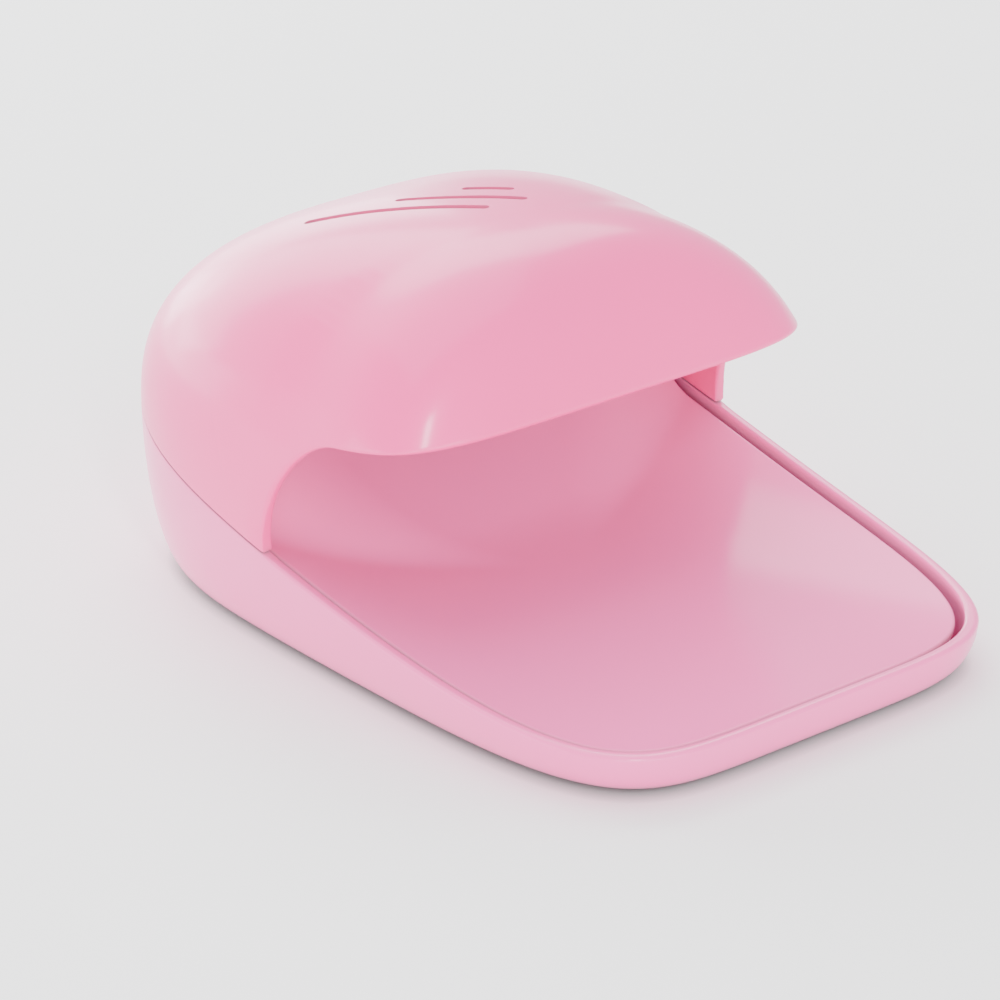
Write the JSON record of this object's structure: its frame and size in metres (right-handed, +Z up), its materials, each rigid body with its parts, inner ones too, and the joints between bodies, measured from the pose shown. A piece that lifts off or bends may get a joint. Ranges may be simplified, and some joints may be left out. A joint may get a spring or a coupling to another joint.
{
  "type": "nail polish fan dryer",
  "caption": "Small battery nail dryer: a domed hood with a fan blows air down on fingers that press a sprung plate in an open tray.",
  "frame": {"origin": "middle of the casing's plan, at the level of the feet's undersides", "axes": "+Z up, -Y out of the open front where the fingers go in, +X to the right seen from the front"},
  "size_m": [0.1, 0.139, 0.066],
  "materials": {
    "casing": "glossy pale pink moulded ABS",
    "plate": "polished pink moulded ABS",
    "shroud": "satin pink moulded plastic",
    "fan": "natural white moulded plastic",
    "steel": "zinc plated steel",
    "brass": "plain brass",
    "magnet": "sintered ferrite, dark grey",
    "copper": "enamelled copper windings over steel",
    "black_plastic": "black moulded plastic",
    "cell": "plain sleeved cell",
    "rubber": "soft grey rubber",
    "wire_red": "red insulated wire",
    "wire_black": "black insulated wire"
  },
  "bodies": {
    "root": {"lower_casing": "casing", "upper_casing": "casing", "fan_shroud": "shroud", "outlet_grille": "shroud", "motor_cradle": "shroud", "hinge_pin_left": "steel", "hinge_pin_right": "steel", "plate_spring_left": "steel", "plate_spring_right": "steel", "contact_negative": "steel", "contact_positive": "steel", "contact_bridge": "steel", "contact_spring_front": "steel", "contact_spring_rear": "steel", "motor_can": "steel", "cradle_screw_1": "steel", "cradle_screw_2": "steel", "cradle_screw_3": "steel", "shroud_screw_1": "steel", "shroud_screw_2": "steel", "shroud_screw_3": "steel", "casing_screw_1": "steel", "casing_screw_2": "steel", "casing_screw_3": "steel", "casing_screw_4": "steel", "switch_tag_left": "brass", "switch_tag_right": "brass", "motor_bearing": "brass", "motor_terminal_left": "brass", "motor_terminal_right": "brass", "motor_magnet": "magnet", "switch_body": "black_plastic", "motor_end_cap": "black_plastic", "battery_cell_front": "cell", "battery_cell_rear": "cell", "foot_1": "rubber", "foot_2": "rubber", "foot_3": "rubber", "foot_4": "rubber", "wire_battery_switch": "wire_red", "wire_switch_motor": "wire_red", "wire_battery_motor": "wire_black"},
    "plate": {"press_plate": "plate"},
    "plunger": {"switch_plunger": "fan"},
    "fan": {"impeller": "fan", "motor_shaft": "steel", "motor_armature": "copper"},
    "door": {"battery_door": "casing"}
  },
  "joints": [
    {"name": "plate_tilt", "type": "hinge", "parent": "root", "child": "plate", "pos_m": [0, 0.0205, 0.009], "axis": [1, 0, 0], "range_deg": [0, 1.3], "stiffness_Nm_per_rad": 6, "springref_deg": -1.15, "deforming": ["plate_spring_left", "plate_spring_right"]},
    {"name": "switch_press", "type": "slide", "parent": "root", "child": "plunger", "axis": [0, 0, -1], "range_m": [0, 0.00037]},
    {"name": "fan_spin", "type": "hinge", "parent": "root", "child": "fan", "pos_m": [0, 0.0098, 0.05], "axis": [0, 0, 1], "continuous": true},
    {"name": "door_swing", "type": "hinge", "parent": "root", "child": "door", "pos_m": [0, 0.0254, 0.001], "axis": [-1, 0, 0], "range_deg": [0, 60]}
  ],
  "couplings": [
    {"joint": "switch_press", "follows": "plate_tilt", "m_per_rad": 0.016}
  ]
}
